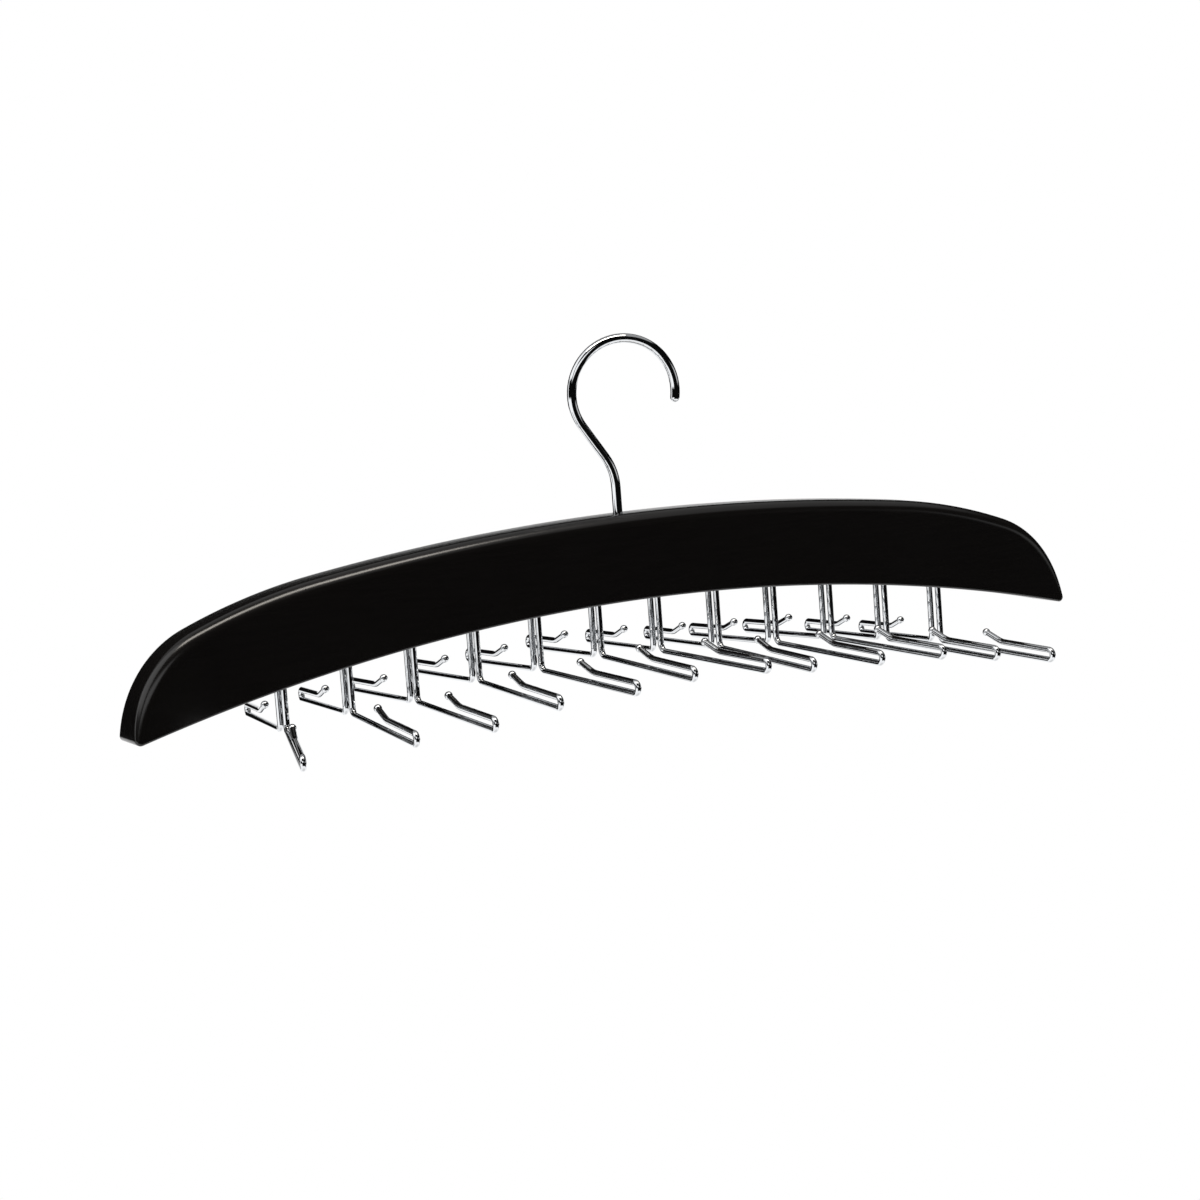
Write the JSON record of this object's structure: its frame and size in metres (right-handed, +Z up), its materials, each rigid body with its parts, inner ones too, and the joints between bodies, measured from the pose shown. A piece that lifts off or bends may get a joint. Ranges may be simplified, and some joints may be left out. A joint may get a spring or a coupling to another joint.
{
  "type": "tie hanger",
  "caption": "Arched black wooden bar with two rows of turning chrome wire tie hooks below it and a chrome swivel hook above its middle, for hanging ties from a rod.",
  "frame": {"origin": "where the rod bears under the arc of the swivel hook, on the swivel axis", "axes": "+X runs along the bar, -Y is the front, +Z is up along the swivel axis"},
  "size_m": [0.4422, 0.1484, 0.1533],
  "materials": {
    "wood": "satin black lacquer",
    "chrome": "polished"
  },
  "bodies": {
    "swivel_hook": {"swivel_hook": "chrome"},
    "bar": {"wooden_bar": "wood", "hook_washer": "chrome"},
    "front_tie_hook_01": {"front_tie_hook_01": "chrome"},
    "front_tie_hook_02": {"front_tie_hook_02": "chrome"},
    "front_tie_hook_03": {"front_tie_hook_03": "chrome"},
    "front_tie_hook_04": {"front_tie_hook_04": "chrome"},
    "front_tie_hook_05": {"front_tie_hook_05": "chrome"},
    "front_tie_hook_06": {"front_tie_hook_06": "chrome"},
    "front_tie_hook_07": {"front_tie_hook_07": "chrome"},
    "front_tie_hook_08": {"front_tie_hook_08": "chrome"},
    "front_tie_hook_09": {"front_tie_hook_09": "chrome"},
    "front_tie_hook_10": {"front_tie_hook_10": "chrome"},
    "front_tie_hook_11": {"front_tie_hook_11": "chrome"},
    "front_tie_hook_12": {"front_tie_hook_12": "chrome"},
    "back_tie_hook_01": {"back_tie_hook_01": "chrome"},
    "back_tie_hook_02": {"back_tie_hook_02": "chrome"},
    "back_tie_hook_03": {"back_tie_hook_03": "chrome"},
    "back_tie_hook_04": {"back_tie_hook_04": "chrome"},
    "back_tie_hook_05": {"back_tie_hook_05": "chrome"},
    "back_tie_hook_06": {"back_tie_hook_06": "chrome"},
    "back_tie_hook_07": {"back_tie_hook_07": "chrome"},
    "back_tie_hook_08": {"back_tie_hook_08": "chrome"},
    "back_tie_hook_09": {"back_tie_hook_09": "chrome"},
    "back_tie_hook_10": {"back_tie_hook_10": "chrome"},
    "back_tie_hook_11": {"back_tie_hook_11": "chrome"},
    "back_tie_hook_12": {"back_tie_hook_12": "chrome"}
  },
  "joints": [
    {"name": "swivel", "type": "hinge", "parent": "swivel_hook", "child": "bar", "pos_m": [0, 0, 0], "axis": [0, 0, 1], "continuous": true},
    {"name": "front_tie_hook_01_turn", "type": "hinge", "parent": "bar", "child": "front_tie_hook_01", "pos_m": [-0.15675, -0.0032, -0.11972], "axis": [0, 0, 1], "range_deg": [-42, 34]},
    {"name": "front_tie_hook_02_turn", "type": "hinge", "parent": "bar", "child": "front_tie_hook_02", "pos_m": [-0.12825, -0.0032, -0.11492], "axis": [0, 0, 1], "range_deg": [-34, 24]},
    {"name": "front_tie_hook_03_turn", "type": "hinge", "parent": "bar", "child": "front_tie_hook_03", "pos_m": [-0.09975, -0.0032, -0.1111], "axis": [0, 0, 1], "range_deg": [-24, 20]},
    {"name": "front_tie_hook_04_turn", "type": "hinge", "parent": "bar", "child": "front_tie_hook_04", "pos_m": [-0.07125, -0.0032, -0.10824], "axis": [0, 0, 1], "range_deg": [-20, 25]},
    {"name": "front_tie_hook_05_turn", "type": "hinge", "parent": "bar", "child": "front_tie_hook_05", "pos_m": [-0.04275, -0.0032, -0.10635], "axis": [0, 0, 1], "range_deg": [-25, 18]},
    {"name": "front_tie_hook_06_turn", "type": "hinge", "parent": "bar", "child": "front_tie_hook_06", "pos_m": [-0.01425, -0.0032, -0.1054], "axis": [0, 0, 1], "range_deg": [-18, 25]},
    {"name": "front_tie_hook_07_turn", "type": "hinge", "parent": "bar", "child": "front_tie_hook_07", "pos_m": [0.01425, -0.0032, -0.1054], "axis": [0, 0, 1], "range_deg": [-25, 14]},
    {"name": "front_tie_hook_08_turn", "type": "hinge", "parent": "bar", "child": "front_tie_hook_08", "pos_m": [0.04275, -0.0032, -0.10635], "axis": [0, 0, 1], "range_deg": [-14, 24]},
    {"name": "front_tie_hook_09_turn", "type": "hinge", "parent": "bar", "child": "front_tie_hook_09", "pos_m": [0.07125, -0.0032, -0.10824], "axis": [0, 0, 1], "range_deg": [-24, 22]},
    {"name": "front_tie_hook_10_turn", "type": "hinge", "parent": "bar", "child": "front_tie_hook_10", "pos_m": [0.09975, -0.0032, -0.1111], "axis": [0, 0, 1], "range_deg": [-22, 19]},
    {"name": "front_tie_hook_11_turn", "type": "hinge", "parent": "bar", "child": "front_tie_hook_11", "pos_m": [0.12825, -0.0032, -0.11492], "axis": [0, 0, 1], "range_deg": [-19, 20]},
    {"name": "front_tie_hook_12_turn", "type": "hinge", "parent": "bar", "child": "front_tie_hook_12", "pos_m": [0.15675, -0.0032, -0.11972], "axis": [0, 0, 1], "range_deg": [-20, 53]},
    {"name": "back_tie_hook_01_turn", "type": "hinge", "parent": "bar", "child": "back_tie_hook_01", "pos_m": [-0.15675, 0.0032, -0.11972], "axis": [0, 0, -1], "range_deg": [-71, 17]},
    {"name": "back_tie_hook_02_turn", "type": "hinge", "parent": "bar", "child": "back_tie_hook_02", "pos_m": [-0.12825, 0.0032, -0.11492], "axis": [0, 0, -1], "range_deg": [-17, 16]},
    {"name": "back_tie_hook_03_turn", "type": "hinge", "parent": "bar", "child": "back_tie_hook_03", "pos_m": [-0.09975, 0.0032, -0.1111], "axis": [0, 0, -1], "range_deg": [-16, 20]},
    {"name": "back_tie_hook_04_turn", "type": "hinge", "parent": "bar", "child": "back_tie_hook_04", "pos_m": [-0.07125, 0.0032, -0.10824], "axis": [0, 0, -1], "range_deg": [-20, 19]},
    {"name": "back_tie_hook_05_turn", "type": "hinge", "parent": "bar", "child": "back_tie_hook_05", "pos_m": [-0.04275, 0.0032, -0.10635], "axis": [0, 0, -1], "range_deg": [-19, 21]},
    {"name": "back_tie_hook_06_turn", "type": "hinge", "parent": "bar", "child": "back_tie_hook_06", "pos_m": [-0.01425, 0.0032, -0.1054], "axis": [0, 0, -1], "range_deg": [-21, 21]},
    {"name": "back_tie_hook_07_turn", "type": "hinge", "parent": "bar", "child": "back_tie_hook_07", "pos_m": [0.01425, 0.0032, -0.1054], "axis": [0, 0, -1], "range_deg": [-21, 21]},
    {"name": "back_tie_hook_08_turn", "type": "hinge", "parent": "bar", "child": "back_tie_hook_08", "pos_m": [0.04275, 0.0032, -0.10635], "axis": [0, 0, -1], "range_deg": [-21, 16]},
    {"name": "back_tie_hook_09_turn", "type": "hinge", "parent": "bar", "child": "back_tie_hook_09", "pos_m": [0.07125, 0.0032, -0.10824], "axis": [0, 0, -1], "range_deg": [-16, 20]},
    {"name": "back_tie_hook_10_turn", "type": "hinge", "parent": "bar", "child": "back_tie_hook_10", "pos_m": [0.09975, 0.0032, -0.1111], "axis": [0, 0, -1], "range_deg": [-20, 24]},
    {"name": "back_tie_hook_11_turn", "type": "hinge", "parent": "bar", "child": "back_tie_hook_11", "pos_m": [0.12825, 0.0032, -0.11492], "axis": [0, 0, -1], "range_deg": [-24, 21]},
    {"name": "back_tie_hook_12_turn", "type": "hinge", "parent": "bar", "child": "back_tie_hook_12", "pos_m": [0.15675, 0.0032, -0.11972], "axis": [0, 0, -1], "range_deg": [-21, 53]}
  ]
}
